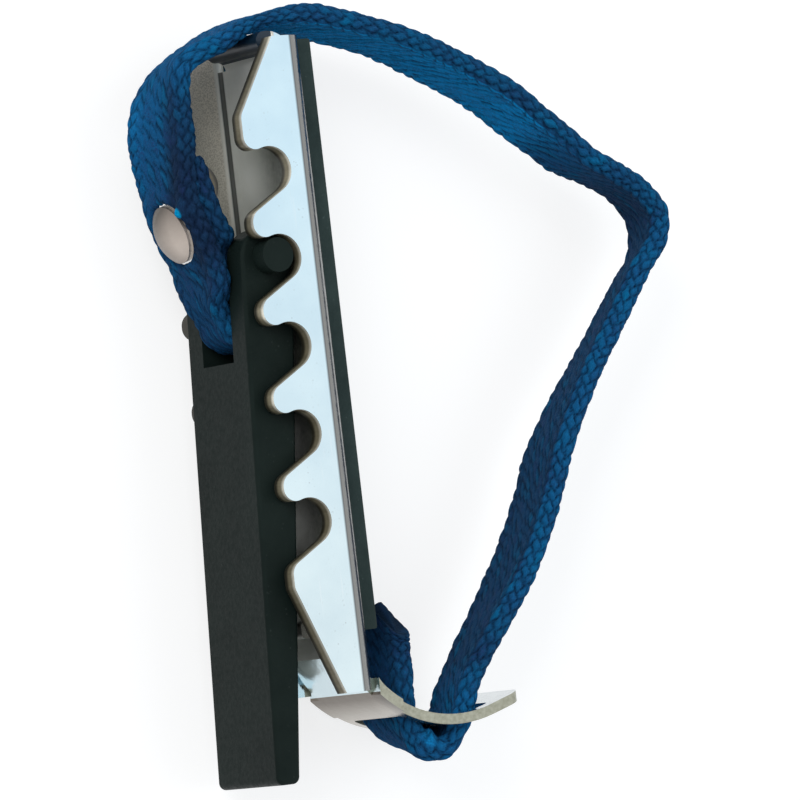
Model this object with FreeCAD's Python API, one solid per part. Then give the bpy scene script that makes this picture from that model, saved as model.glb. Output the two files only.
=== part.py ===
import FreeCAD, Part
import os
from math import acos, atan2, cos, degrees, hypot, radians, sin, sqrt, tan

V = FreeCAD.Vector

# A lever-operated guitar capo, lying on its side. Millimetres.
# Origin: on the rubber pad's clamping face, halfway along the bar and halfway across it.
# +X leaves the pad's face, +Y runs along the bar to its lipped end, +Z is up, across the bar.

# Toothed channel
bar_length = 60.8
bar_width = 16.0
wall = 1.8
bend_inside_radius = 0.8
end_height = 1.95
tooth_height = 6.08
notch_count = 5
notch_pitch = 8.12
notch_radius = 2.2
notch_height = 3.66
first_notch_from_end = 12.29
notch_slope = 31.3
tooth_lower_radius = 1.2
tooth_upper_radius = 1.3
tooth_lower_rise = 3.18
end_tooth_radius = 1.3

# Rounded lip at the channel's top end, which the strap slides over
lip_width = 9.8
lip_inside_radius = 0.8
lip_angle = 96.0
lip_drop = 1.8
lip_slit = 0.5

# Curved tongue at the other end, with the two strap slots
tongue_width = 12.0
tongue_root_width = 13.4
tongue_root_out = 4.6
tongue_neck_width = 10.0
tongue_thickness = 0.95
tongue_radius = 11.2
tongue_centre_out = 10.9
tongue_centre_above_end = 8.1
tongue_neck_radius_above = 4.0
tongue_neck_radius_below = 5.0
tongue_tip_rise = 17.0
tongue_reach = 17.8
tongue_corner_radius = 1.6
tongue_slit = 0.5
tongue_overlap = 1.0
slot_gap = 0.5
slot_side_gap = 0.35
slot_corner_radius = 0.5
tail_slot_out = 6.7
neck_slot_out = 13.5

# Stop tab struck up from the channel's floor
tab_height = 2.7
tab_length = 1.6
tab_from_end = 5.4
tab_corner_radius = 0.5
tab_above_middle = 0.3
tab_window_gap = 0.3

# Rubber pad
pad_thickness = 1.9
pad_upper_gap = 0.2
pad_lower_gap = 5.6
pad_edge_radius = 0.5

# Lever with its two side pins
lever_notch = 2
lever_length = 48.4
lever_side_gap = 0.4
lever_ear_radius = 2.75
lever_outer_lean = 2.95
lever_inner_lean = 6.65
lever_end_radius = 0.7
lever_edge_radius = 0.35
pin_radius = 1.6
pin_end_gap = 0.2
pin_root = 0.5
pin_offset_out = 0.1
pin_offset_up = 0.3
fork_gap = 5.9
fork_depth = 9.3
crossbar_radius = 1.2
crossbar_below_pin = 5.0
crossbar_outward = 0.67

# Strap
strap_width = 8.5
strap_thickness = 1.6
strap_fork_gap = 0.3
strap_crossbar_gap = 0.3
strap_layer_gap = 0.05
strap_body_gap = 0.3
strap_ear_gap = 0.4
strap_lip_gap = 0.25
strap_taper = 1.6
strap_narrow_above_crossbar = 2.9
corner_share = 0.45

# Riveted layers of the strap, from the foot near the crossbar to the head near the first tooth
foot_out = 3.1
foot_below_pin = 3.2
head_out = 6.35
head_above_pin = 7.0
head_run = 1.9
head_lean = 13.9
inner_foot_up = 1.0
inner_foot_radius = 3.0
foot_radius = 4.0
head_radius = 6.0

# Strap over the lip: three bends counted outwards from the web and down from the top of the strap
lip_bends = [(11.36, 9.45), (9.26, 4.75), (4.4, 0.85)]
lip_crest_past = 2.2
lip_crest_up = 0.45

# Strap's loop round the instrument's neck, in shares of its reach and of half the bar's length
loop_reach = 38.3
upper_bends = [(0.295, 0.954), (0.452, 0.852), (0.608, 0.724), (0.770, 0.576)]
lower_bends = [
    (0.935, 0.447),
    (1.0, 0.336),
    (0.898, 0.171),
    (0.705, -0.158),
    (0.556, -0.513),
    (0.392, -0.809),
]

# Strap in the tongue's slots, and its free end beside the pad
neck_lean_out = 0.35
neck_above_plate = 2.5
wrap_below_plate = 1.9
wrap_drop = 3.3
wrap_corner_in = 1.9
tail_corner_out = 2.2
tail_lean_out = 0.1
tail_above_plate = 5.9
tail_bend_in = 1.0
tail_end_in = 0.7
tail_pad_gap = 0.3
tail_slant = 1.2

# Rivet through the strap's two layers
rivet_above_pin = 3.5
rivet_shank_radius = 1.1
rivet_head_radius = 2.8
rivet_dome_height = 1.1
rivet_rim = 0.35
rivet_washer_radius = 3.0
rivet_washer_thickness = 0.3
rivet_base_radius = 2.5
rivet_base_thickness = 0.45
rivet_hole_gap = 0.05

# Places that follow from the sizes above
web_outer = -pad_thickness
web_inner = web_outer - wall
bend_outside_radius = wall + bend_inside_radius
half_length = bar_length / 2
half_width = bar_width / 2
half_inside = half_width - wall
overrun = wall
pad_width = bar_width - 2 * bend_outside_radius
pad_low_y = -half_length + pad_lower_gap
half_strap = strap_width / 2
half_thickness = strap_thickness / 2
notch_x = web_inner - notch_height
tooth_x = web_inner - tooth_height
pin_x = notch_x - pin_offset_out


def notch_y(number):
    """Height of a notch's centre, counted from the lipped end."""
    return half_length - first_notch_from_end - (number - 1) * notch_pitch


pin_y = notch_y(lever_notch) + pin_offset_up
crossbar_x = pin_x - crossbar_outward
crossbar_y = pin_y - crossbar_below_pin
lip_x = web_inner - lip_inside_radius
lip_y = half_length - lip_drop
lip_top = lip_y + lip_inside_radius + wall
tongue_x = web_inner + tongue_centre_out
tongue_y = -half_length + tongue_centre_above_end
slot_width = strap_thickness + 2 * slot_gap
slot_half_height = half_strap + slot_side_gap
tail_slot_x = web_inner + tail_slot_out
neck_slot_x = web_inner + neck_slot_out


def line(a, b):
    return Part.LineSegment(V(a[0], a[1], 0), V(b[0], b[1], 0)).toShape()


def arc(centre, radius, start, end):
    """Arc about centre from angle start to angle end, in degrees, either way round."""
    middle = (start + end) / 2
    points = []
    for angle in (start, middle, end):
        x = centre[0] + radius * cos(radians(angle))
        y = centre[1] + radius * sin(radians(angle))
        points.append(V(x, y, 0))
    return Part.Arc(*points).toShape()


def on_circle(centre, radius, angle):
    return (
        centre[0] + radius * cos(radians(angle)),
        centre[1] + radius * sin(radians(angle)),
    )


def prism(edges, low, high):
    """Solid of the closed outline, from height low to height high."""
    face = Part.Face(Part.Wire(Part.__sortEdges__(edges)))
    solid = face.extrude(V(0, 0, high - low))
    solid.translate(V(0, 0, low))
    return solid


def block(low, high):
    size = [b - a for a, b in zip(low, high)]
    return Part.makeBox(size[0], size[1], size[2], V(*low))


def rounded_block(low, high, radius, axis):
    """Box whose four edges along the given axis are rounded."""
    box = block(low, high)
    edges = []
    for edge in box.Edges:
        run = edge.Vertexes[1].Point - edge.Vertexes[0].Point
        if abs(run.dot(axis)) > 0.5 * run.Length:
            edges.append(edge)
    return box.makeFillet(radius, edges)


def corner_round(before, corner, after, radius):
    """Tangent points and arc edge that round the corner of an outline."""
    a = V(before[0] - corner[0], before[1] - corner[1], 0).normalize()
    b = V(after[0] - corner[0], after[1] - corner[1], 0).normalize()
    half = acos(max(-1, min(1, a.dot(b)))) / 2
    reach = radius / tan(half)
    point = V(corner[0], corner[1], 0)
    centre = point + (a + b).normalize() * (radius / sin(half))
    first = point + a * reach
    last = point + b * reach
    middle = centre + (point - centre).normalize() * radius
    edge = Part.Arc(first, middle, last).toShape()
    return (first.x, first.y), edge, (last.x, last.y)


def tooth_side(number):
    """Edges of one notch, from the flat of the tooth above it to the flat of the tooth below.

    The round under the tooth stands high enough to run smoothly into the notch's own round.
    """
    pocket = (notch_x, notch_y(number))
    both_radii = notch_radius + tooth_lower_radius
    dx = tooth_x + tooth_lower_radius - pocket[0]
    dy = max(tooth_lower_rise, sqrt(max(both_radii**2 - dx**2, 0)))
    hook = (pocket[0] + dx, pocket[1] + dy)
    tilt = degrees(acos(min(both_radii / hypot(dx, dy), 1)))
    leave = degrees(atan2(dy, dx)) - tilt
    slope_normal = notch_slope - 90
    foot = on_circle(pocket, notch_radius, slope_normal)
    flat_y = foot[1] - (foot[0] - tooth_x) * tan(radians(notch_slope))
    below = (tooth_x, flat_y - notch_pitch)
    first, edge, last = corner_round(foot, (tooth_x, flat_y), below, tooth_upper_radius)
    hook_end = on_circle(hook, tooth_lower_radius, leave + 180)
    pocket_start = on_circle(pocket, notch_radius, leave)
    edges = [arc(hook, tooth_lower_radius, 180, leave + 180)]
    if hypot(hook_end[0] - pocket_start[0], hook_end[1] - pocket_start[1]) > 1e-4:
        edges.append(line(hook_end, pocket_start))
    edges.append(arc(pocket, notch_radius, leave, slope_normal))
    edges.append(line(foot, first))
    edges.append(edge)
    return (tooth_x, hook[1]), edges, last


def channel_silhouette():
    """Side view of the channel: a straight back and six teeth."""
    top = (web_inner - end_height, half_length)
    bottom = (web_inner - end_height, -half_length)
    edges = []
    start, first_edges, end = tooth_side(1)
    top_tooth_y = start[1] + tooth_lower_rise - tooth_lower_radius
    first, edge, last = corner_round(
        top, (tooth_x, top_tooth_y), (tooth_x, start[1]), end_tooth_radius
    )
    edges.append(line(top, first))
    edges.append(edge)
    previous = last
    for number in range(1, notch_count + 1):
        start, notch_edges, end = tooth_side(number)
        edges.append(line(previous, start))
        edges.extend(notch_edges)
        previous = end
    last_tooth_y = previous[1] - tooth_lower_radius
    first, edge, last = corner_round(
        previous, (tooth_x, last_tooth_y), bottom, end_tooth_radius
    )
    if previous[1] - first[1] > 1e-4:
        edges.append(line(previous, first))
    edges.append(edge)
    edges.append(line(last, bottom))
    edges.append(line(bottom, (web_outer, -half_length)))
    edges.append(line((web_outer, -half_length), (web_outer, half_length)))
    edges.append(line((web_outer, half_length), top))
    return edges


def channel_section():
    """U section of the channel, looking along the bar, swept over the bar's length."""
    outer = rounded_block(
        (tooth_x - tooth_height, -half_length, -half_width),
        (web_outer, half_length, half_width),
        bend_outside_radius,
        V(0, 1, 0),
    )
    inner = rounded_block(
        (tooth_x - 2 * tooth_height, -half_length, -half_inside),
        (web_inner, half_length, half_inside),
        bend_inside_radius,
        V(0, 1, 0),
    )
    return outer.cut(inner)


def lip():
    """The web's end rolled inwards, with a round edge."""
    centre = (lip_x, lip_y)
    outside = lip_inside_radius + wall
    middle_radius = lip_inside_radius + wall / 2
    end_centre = on_circle(centre, middle_radius, lip_angle)
    start_low = (web_inner, lip_y - lip_drop)
    start_high = (web_outer, lip_y - lip_drop)
    edges = [
        line(start_high, (web_outer, lip_y)),
        arc(centre, outside, 0, lip_angle),
        arc(end_centre, wall / 2, lip_angle, lip_angle + 180),
        arc(centre, lip_inside_radius, lip_angle, 0),
        line((web_inner, lip_y), start_low),
        line(start_low, start_high),
    ]
    return prism(edges, -lip_width / 2, lip_width / 2)


def tongue_face(face_x, neck_radius, radius):
    """Start of the neck's curve on the web, and the angle where it joins the tongue's curve."""
    centre_x = face_x + neck_radius
    across = centre_x - tongue_x
    down = sqrt(max((radius - neck_radius) ** 2 - across**2, 0))
    neck = (centre_x, tongue_y - down)
    join = degrees(atan2(-down, across)) + 360
    return neck, join


def tongue():
    """Curved end plate: a neck that leaves the web and a saddle with two strap slots."""
    centre = (tongue_x, tongue_y)
    under_radius = tongue_radius + tongue_thickness
    above, above_join = tongue_face(web_outer, tongue_neck_radius_above, tongue_radius)
    below, below_join = tongue_face(web_inner, tongue_neck_radius_below, under_radius)
    root_y = max(above[1], below[1]) + tongue_overlap
    tip_x = web_inner + tongue_reach
    bend_end = 270 + tongue_tip_rise
    tips = []
    for radius in (tongue_radius, under_radius):
        start = on_circle(centre, radius, bend_end)
        tips.append((start, (tip_x, start[1] + (tip_x - start[0]) * tan(radians(tongue_tip_rise)))))
    edges = [
        line((web_outer, root_y), (web_outer, above[1])),
        arc(above, tongue_neck_radius_above, 180, above_join),
        arc(centre, tongue_radius, above_join, bend_end),
        line(*tips[0]),
        line(tips[0][1], tips[1][1]),
        line(*tips[1]),
        arc(centre, under_radius, bend_end, below_join),
        arc(below, tongue_neck_radius_below, below_join, 180),
        line((web_inner, below[1]), (web_inner, root_y)),
        line((web_inner, root_y), (web_outer, root_y)),
    ]
    plate = prism(edges, -tongue_root_width / 2, tongue_root_width / 2)
    low_y = tongue_y - under_radius - overrun
    root_plan = block(
        (web_inner - overrun, low_y, -tongue_root_width / 2),
        (web_inner + tongue_root_out, root_y + overrun, tongue_root_width / 2),
    )
    plan = rounded_block(
        (web_inner - tongue_radius, low_y, -tongue_width / 2),
        (tip_x, root_y + overrun, tongue_width / 2),
        tongue_corner_radius,
        V(0, 1, 0),
    )
    plate = plate.common(plan.fuse(root_plan))
    for side in (-1, 1):
        z = sorted((side * tongue_neck_width / 2, side * tongue_root_width))
        shoulder = block(
            (web_inner - overrun, -half_length - tongue_slit, z[0]),
            (web_outer + tongue_slit, root_y + overrun, z[1]),
        )
        plate = plate.cut(shoulder)
    for slot_x in (tail_slot_x, neck_slot_x):
        slot = rounded_block(
            (slot_x - slot_width / 2, low_y, -slot_half_height),
            (slot_x + slot_width / 2, tongue_y, slot_half_height),
            slot_corner_radius,
            V(0, 1, 0),
        )
        plate = plate.cut(slot)
    return plate, root_y


def stop_tab():
    """Small tab struck up from the channel's floor near the tongue."""
    low_y = -half_length + tab_from_end
    tab = block(
        (web_inner - tab_height, low_y, tab_above_middle),
        (web_inner + wall / 2, low_y + tab_length, tab_above_middle + wall),
    )
    edges = []
    for edge in tab.Edges:
        middle = edge.CenterOfMass
        run = edge.Vertexes[1].Point - edge.Vertexes[0].Point
        if abs(run.z) > wall / 2 and middle.x < web_inner - tab_height / 2:
            edges.append(edge)
    tab = tab.makeFillet(tab_corner_radius, edges)
    window = block(
        (web_inner - overrun, low_y - tab_window_gap, tab_above_middle + wall),
        (
            web_outer + overrun,
            low_y + tab_length + tab_window_gap,
            tab_above_middle + wall + tab_height,
        ),
    )
    return tab, window


def channel_bar():
    silhouette = prism(channel_silhouette(), -half_width, half_width)
    bar = channel_section().common(silhouette)
    plate, root_y = tongue()
    lip_opening = block(
        (web_inner - overrun, lip_y, -lip_width / 2 - lip_slit),
        (web_outer + overrun, half_length + overrun, lip_width / 2 + lip_slit),
    )
    tongue_opening = block(
        (web_inner - overrun, -half_length - overrun, -tongue_neck_width / 2 - tongue_slit),
        (web_outer + overrun, root_y - tongue_overlap, tongue_neck_width / 2 + tongue_slit),
    )
    tab, window = stop_tab()
    bar = bar.cut(lip_opening).cut(tongue_opening).cut(window)
    bar = bar.fuse([lip(), plate, tab])
    return bar.removeSplitter()


def rubber_pad():
    pad = block(
        (web_outer, pad_low_y, -pad_width / 2),
        (0, half_length - pad_upper_gap, pad_width / 2),
    )
    edges = [edge for edge in pad.Edges if edge.CenterOfMass.x > -pad_thickness / 4]
    return pad.makeFillet(pad_edge_radius, edges)


def lever_outline(extra=0.0):
    """Side view of the lever: a round eye about the pins and two flat sides that draw together."""
    pin = (pin_x, pin_y)
    radius = lever_ear_radius + extra
    end_y = pin_y - lever_length - extra
    outer_start = on_circle(pin, radius, 180 - lever_outer_lean)
    inner_start = on_circle(pin, radius, -lever_inner_lean)
    outer_x = outer_start[0] - (outer_start[1] - end_y) * tan(radians(lever_outer_lean))
    inner_x = inner_start[0] - (inner_start[1] - end_y) * tan(radians(lever_inner_lean))
    outer_corner = (outer_x, end_y)
    inner_corner = (inner_x, end_y)
    a, outer_edge, b = corner_round(
        outer_start, outer_corner, inner_corner, lever_end_radius
    )
    c, inner_edge, d = corner_round(
        outer_corner, inner_corner, inner_start, lever_end_radius
    )
    return [
        arc(pin, radius, 180 - lever_outer_lean, -lever_inner_lean),
        line(outer_start, a),
        outer_edge,
        line(b, c),
        inner_edge,
        line(d, inner_start),
    ]


def toggle_lever():
    half = half_inside - lever_side_gap
    body = prism(lever_outline(), -half, half)
    edges = [edge for edge in body.Edges if abs(abs(edge.CenterOfMass.z) - half) < 1e-6]
    body = body.makeFillet(lever_edge_radius, edges)
    fork_bottom = pin_y - fork_depth
    gap = block(
        (pin_x - 4 * lever_ear_radius, fork_bottom, -fork_gap / 2),
        (pin_x + 4 * lever_ear_radius, pin_y + 2 * lever_ear_radius, fork_gap / 2),
    )
    body = body.cut(gap)
    pin_end = half_width - pin_end_gap
    for side in (-1, 1):
        root = V(pin_x, pin_y, side * (half - pin_root))
        pin = Part.makeCylinder(pin_radius, pin_end - half + pin_root, root, V(0, 0, side))
        body = body.fuse(pin)
    crossbar = Part.makeCylinder(
        crossbar_radius,
        fork_gap + 2 * pin_root,
        V(crossbar_x, crossbar_y, -fork_gap / 2 - pin_root),
    )
    return body.fuse(crossbar).removeSplitter()


def rounded_path(points, radii=None):
    """Straight runs and tangent arcs through a list of corners.

    Each corner's radius is a fixed share of its shorter run, over the tangent of half the
    turn, unless radii gives a value for that corner's number.
    """
    segments = []
    start = points[0]
    for number in range(1, len(points) - 1):
        before, corner, after = points[number - 1], points[number], points[number + 1]
        first_run = hypot(corner[0] - before[0], corner[1] - before[1])
        next_run = hypot(after[0] - corner[0], after[1] - corner[1])
        way_in = degrees(atan2(corner[1] - before[1], corner[0] - before[0]))
        way_out = degrees(atan2(after[1] - corner[1], after[0] - corner[0]))
        turn = (way_out - way_in + 180) % 360 - 180
        half_turn = tan(radians(abs(turn) / 2))
        radius = corner_share * min(first_run, next_run) / half_turn
        if radii and number in radii:
            radius = radii[number]
        reach = radius * half_turn
        side = 1 if turn > 0 else -1
        tangent = (
            corner[0] - reach * cos(radians(way_in)),
            corner[1] - reach * sin(radians(way_in)),
        )
        centre = on_circle(tangent, radius, way_in + side * 90)
        segments.append(("line", start, tangent))
        segments.append(("arc", centre, radius, way_in - side * 90, way_in - side * 90 + turn))
        start = on_circle(centre, radius, way_in - side * 90 + turn)
    segments.append(("line", start, points[-1]))
    return segments


def band(segments, low, high, thickness=strap_thickness):
    """Flat strap whose middle line follows the segments, from height low to height high."""
    half = thickness / 2
    left = []
    right = []
    ends = []
    for segment in segments:
        if segment[0] == "line":
            a, b = segment[1], segment[2]
            way = atan2(b[1] - a[1], b[0] - a[0])
            nx, ny = -sin(way), cos(way)
            for side, edges in ((half, left), (-half, right)):
                p = (a[0] + side * nx, a[1] + side * ny)
                q = (b[0] + side * nx, b[1] + side * ny)
                edges.append(line(p, q))
        else:
            centre, radius, start, end = segment[1:]
            turn = 1 if end > start else -1
            left.append(arc(centre, radius - turn * half, start, end))
            right.append(arc(centre, radius + turn * half, start, end))
    for place in (0, -1):
        vertex = 0 if place == 0 else 1
        a = left[place].Vertexes[vertex].Point
        b = right[place].Vertexes[vertex].Point
        ends.append(Part.LineSegment(a, b).toShape())
    return prism(left + right + ends, low, high)


def tangent_angle(point, centre, radius, side):
    """Angle on a circle where the tangent from an outside point touches it."""
    dx = point[0] - centre[0]
    dy = point[1] - centre[1]
    spread = degrees(acos(radius / hypot(dx, dy)))
    return degrees(atan2(dy, dx)) + side * spread


# The strap's outer layer from the crossbar up to the lip, as corners of its middle line
loop_foot = (pin_x - foot_out, pin_y - foot_below_pin)
loop_head = (pin_x - head_out, pin_y + head_above_pin)
loop_end = on_circle(loop_head, head_run, 90 + head_lean)
layer_way = atan2(loop_head[1] - loop_foot[1], loop_head[0] - loop_foot[0])
layer_length = hypot(loop_head[0] - loop_foot[0], loop_head[1] - loop_foot[1])
layer_step = strap_thickness + strap_layer_gap


def in_layers(up, across):
    """Point counted up the riveted layers from the foot, and across them towards the bar."""
    return (
        loop_foot[0] + up * cos(layer_way) + across * sin(layer_way),
        loop_foot[1] + up * sin(layer_way) - across * cos(layer_way),
    )


def strap_lever_loop():
    """Strap round the lever's crossbar, turned back on itself and riveted."""
    centre = (crossbar_x, crossbar_y)
    radius = crossbar_radius + strap_crossbar_gap + half_thickness
    inner_foot = in_layers(inner_foot_up, layer_step)
    inner_head = in_layers(layer_length, layer_step)
    down = tangent_angle(inner_foot, centre, radius, -1)
    up = tangent_angle(loop_foot, centre, radius, 1)
    while up > down:
        up -= 360
    touch_down = on_circle(centre, radius, down)
    touch_up = on_circle(centre, radius, up)
    inner = rounded_path([inner_head, inner_foot, touch_down], {1: inner_foot_radius})
    outer = rounded_path(
        [touch_up, loop_foot, loop_head, loop_end], {1: foot_radius, 2: head_radius}
    )
    segments = inner + [("arc", centre, radius, down, up)] + outer
    strap = band(segments, -half_strap, half_strap)
    half_fork = fork_gap / 2 - strap_fork_gap
    narrow_y = crossbar_y + strap_narrow_above_crossbar
    wide_y = narrow_y + strap_taper
    for side in (-1, 1):
        low_y = crossbar_y - strap_width
        narrow = [
            V(0, low_y, side * half_fork),
            V(0, narrow_y, side * half_fork),
            V(0, wide_y, side * half_strap),
            V(0, wide_y, side * strap_width),
            V(0, low_y, side * strap_width),
        ]
        face = Part.Face(Part.makePolygon(narrow + [narrow[0]]))
        cutter = face.extrude(V(-bar_length, 0, 0))
        strap = strap.cut(cutter)
        z = sorted((side * half_fork, side * strap_width))
        ear = prism(lever_outline(strap_ear_gap), z[0], z[1])
        strap = strap.cut(ear)
    hole = rivet_cylinder(rivet_shank_radius + rivet_hole_gap, -strap_width, strap_width)
    return strap.cut(hole)


rivet_up = (pin_y + rivet_above_pin - loop_foot[1]) / sin(layer_way)
rivet_x, rivet_y = in_layers(rivet_up, 0)
rivet_axis = V(-sin(layer_way), cos(layer_way), 0)


def rivet_point(distance):
    """Point on the rivet's axis, counted outwards from the outer layer's middle."""
    return V(rivet_x, rivet_y, 0) + rivet_axis * distance


def rivet_cylinder(radius, low, high):
    return Part.makeCylinder(radius, high - low, rivet_point(low), rivet_axis)


outer_face = half_thickness + strap_layer_gap
inner_face = -(half_thickness + layer_step + strap_layer_gap)
shank_top = outer_face + rivet_washer_thickness + rivet_rim


def rivet_post():
    """Plain base behind the strap with the shank that passes through both layers."""
    base = rivet_cylinder(rivet_base_radius, inner_face - rivet_base_thickness, inner_face)
    outer_edges = [e for e in base.Edges if e.Closed]
    far = min(outer_edges, key=lambda e: (e.CenterOfMass - rivet_point(0)).dot(rivet_axis))
    base = base.makeFillet(rivet_base_thickness / 2, [far])
    shank = rivet_cylinder(rivet_shank_radius, inner_face - rivet_base_thickness / 2, shank_top)
    return base.fuse(shank).removeSplitter()


def rivet_washer():
    low = outer_face
    high = low + rivet_washer_thickness
    ring = rivet_cylinder(rivet_washer_radius, low, high)
    hole = rivet_cylinder(rivet_shank_radius + rivet_hole_gap, low - overrun, high + overrun)
    return ring.cut(hole)


def rivet_cap():
    """Domed head pressed on to the shank's end."""
    low = outer_face + rivet_washer_thickness
    rim = low + rivet_rim
    dome_radius = (rivet_head_radius**2 + rivet_dome_height**2) / (2 * rivet_dome_height)
    ball = Part.makeSphere(dome_radius, rivet_point(rim + rivet_dome_height - dome_radius))
    dome = ball.common(rivet_cylinder(rivet_head_radius, low, rim + 2 * rivet_dome_height))
    bore_radius = rivet_shank_radius + rivet_hole_gap
    socket = rivet_cylinder(bore_radius, low - overrun, shank_top + rivet_hole_gap)
    return dome.cut(socket)


# The strap's middle line from the rivet round the neck loop and back through the slots
top_y = lip_top + strap_lip_gap + half_thickness
run_start = on_circle(loop_end, strap_body_gap, 90 + head_lean)


def plate_y(x):
    """Height of the tongue's middle surface at a slot."""
    return tongue_y - sqrt((tongue_radius + tongue_thickness / 2) ** 2 - (x - tongue_x) ** 2)


neck_plate_y = plate_y(neck_slot_x)
tail_plate_y = plate_y(tail_slot_x)
wrap_low_y = neck_plate_y - wrap_drop
strap_corners = {
    "strap_over_lip": [
        run_start,
        *[(web_inner - out, top_y - down) for out, down in lip_bends],
        (web_inner + lip_crest_past, top_y + lip_crest_up),
    ],
    "strap_neck_upper": [(x * loop_reach, y * half_length) for x, y in upper_bends],
    "strap_neck_lower": [
        *[(x * loop_reach, y * half_length) for x, y in lower_bends],
        (neck_slot_x + neck_lean_out, neck_plate_y + neck_above_plate),
    ],
    "strap_buckle_wrap": [
        (neck_slot_x, neck_plate_y - wrap_below_plate),
        (neck_slot_x - wrap_corner_in, wrap_low_y),
        (tail_slot_x + tail_corner_out, wrap_low_y),
        (tail_slot_x + tail_lean_out, tail_plate_y - wrap_below_plate),
    ],
    "strap_tail": [
        (tail_slot_x - tail_bend_in, tail_plate_y + tail_above_plate),
        (tail_slot_x - tail_end_in, pad_low_y - tail_pad_gap),
    ],
}
strap_route = [corner for corners in strap_corners.values() for corner in corners]


def strap_stretch(name):
    """One stretch of the strap. Stretches meet halfway along the run between their corners."""
    first = 0
    for other in strap_corners:
        if other == name:
            break
        first += len(strap_corners[other])
    last = first + len(strap_corners[name])
    path = rounded_path(strap_route)
    runs = path[max(2 * first - 2, 0) : 2 * last - 1]
    if first > 0:
        a, b = runs[0][1:]
        runs[0] = ("line", ((a[0] + b[0]) / 2, (a[1] + b[1]) / 2), b)
    if last < len(strap_route):
        a, b = runs[-1][1:]
        runs[-1] = ("line", a, ((a[0] + b[0]) / 2, (a[1] + b[1]) / 2))
    return band(runs, -half_strap, half_strap)


def strap_tail():
    """Free end beside the pad, cut off at a slant."""
    strap = strap_stretch("strap_tail")
    end_x, end_y = strap_route[-1]
    start_x = end_x - strap_width / 2
    slant = Part.makePolygon(
        [
            V(start_x, end_y, -half_strap),
            V(start_x, end_y + overrun, -half_strap),
            V(start_x, end_y + overrun, half_strap),
            V(start_x, end_y - tail_slant, half_strap),
            V(start_x, end_y, -half_strap),
        ]
    )
    return strap.cut(Part.Face(slant).extrude(V(strap_width, 0, 0)))


pieces = {
    "channel_bar": channel_bar(),
    "rubber_pad": rubber_pad(),
    "toggle_lever": toggle_lever(),
    "strap_lever_loop": strap_lever_loop(),
    "rivet_post": rivet_post(),
    "rivet_washer": rivet_washer(),
    "rivet_cap": rivet_cap(),
    "strap_over_lip": strap_stretch("strap_over_lip"),
    "strap_neck_upper": strap_stretch("strap_neck_upper"),
    "strap_neck_lower": strap_stretch("strap_neck_lower"),
    "strap_buckle_wrap": strap_stretch("strap_buckle_wrap"),
    "strap_tail": strap_tail(),
}

os.makedirs("parts", exist_ok=True)
for name, shape in pieces.items():
    box = shape.BoundBox
    print(
        f"{name}: valid {shape.isValid()}, {len(shape.Solids)} solid, {shape.Volume:.1f} mm3, "
        f"x {box.XMin:.2f}..{box.XMax:.2f}, y {box.YMin:.2f}..{box.YMax:.2f}, "
        f"z {box.ZMin:.2f}..{box.ZMax:.2f}"
    )
    shape.exportStep(f"parts/{name}.step")
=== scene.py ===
import math

import bpy
import numpy as np
from mathutils import Matrix, Vector


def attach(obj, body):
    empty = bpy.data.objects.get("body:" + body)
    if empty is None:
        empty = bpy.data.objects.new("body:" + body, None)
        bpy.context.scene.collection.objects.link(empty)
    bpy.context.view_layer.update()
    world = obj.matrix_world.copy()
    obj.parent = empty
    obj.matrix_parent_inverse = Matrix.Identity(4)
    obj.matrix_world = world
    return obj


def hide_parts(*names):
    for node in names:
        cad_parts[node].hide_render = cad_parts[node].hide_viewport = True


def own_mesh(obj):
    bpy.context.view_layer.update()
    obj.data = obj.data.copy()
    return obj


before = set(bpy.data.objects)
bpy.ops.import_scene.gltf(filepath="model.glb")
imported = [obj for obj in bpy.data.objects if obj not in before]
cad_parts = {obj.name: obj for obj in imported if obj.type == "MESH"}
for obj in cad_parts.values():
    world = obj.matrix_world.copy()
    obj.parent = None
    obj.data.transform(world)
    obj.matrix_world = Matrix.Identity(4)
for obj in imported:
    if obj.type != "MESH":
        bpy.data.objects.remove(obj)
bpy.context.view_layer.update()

print("CAD nodes:", ", ".join(sorted(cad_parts)))

# %% [markdown]
# A guitar capo lies on its side: a toothed, nickel-plated channel with a rubber pad, a black lever
# whose pins sit in a pair of notches, and a woven strap that leaves the lever, runs over the end of
# the channel and round the place of the guitar's neck, and comes back through a slotted tongue.
# The rigid parts are the solid model's own shapes and only get their finishes here. The strap is
# made anew, because its weave is too fine for the solid model. Lengths are written in millimetres
# and turned into metres where a mesh is made.

# %% Sizes shared with the solid model, in millimetres
MM = 0.001
WEB_INNER = -3.7
HALF_INSIDE = 6.2
HALF_OUTSIDE = 8.0
CROSSBAR = (-8.13, 5.29)
RIVET = (-12.69, 13.79)
STRAP_HALF_WIDTH = 4.25
STRAP_HALF_THICKNESS = 0.85
EDGE_RADIUS = 1.05
FACE_HALF_THICKNESS = 0.95
FORK_HALF_WIDTH = 2.65
FLAT_HALF = STRAP_HALF_WIDTH - STRAP_HALF_THICKNESS
print("strap", 2 * STRAP_HALF_WIDTH, "mm wide, channel", 2 * HALF_OUTSIDE, "mm wide")

# %% [markdown]
# Effects that several materials share are node groups, made once. Each puts out a colour factor or
# a height that changes over the surface, and each material sets its own scale and strength.


# %% Node helpers
def new_group(name, inputs, outputs):
    """Node group with these sockets, and the two nodes at its ends."""
    group = bpy.data.node_groups.new(name, "ShaderNodeTree")
    for socket, kind, value in inputs:
        item = group.interface.new_socket(socket, in_out="INPUT", socket_type=kind)
        if value is not None:
            item.default_value = value
    for socket, kind in outputs:
        group.interface.new_socket(socket, in_out="OUTPUT", socket_type=kind)
    return group, group.nodes.new("NodeGroupInput"), group.nodes.new("NodeGroupOutput")


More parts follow.
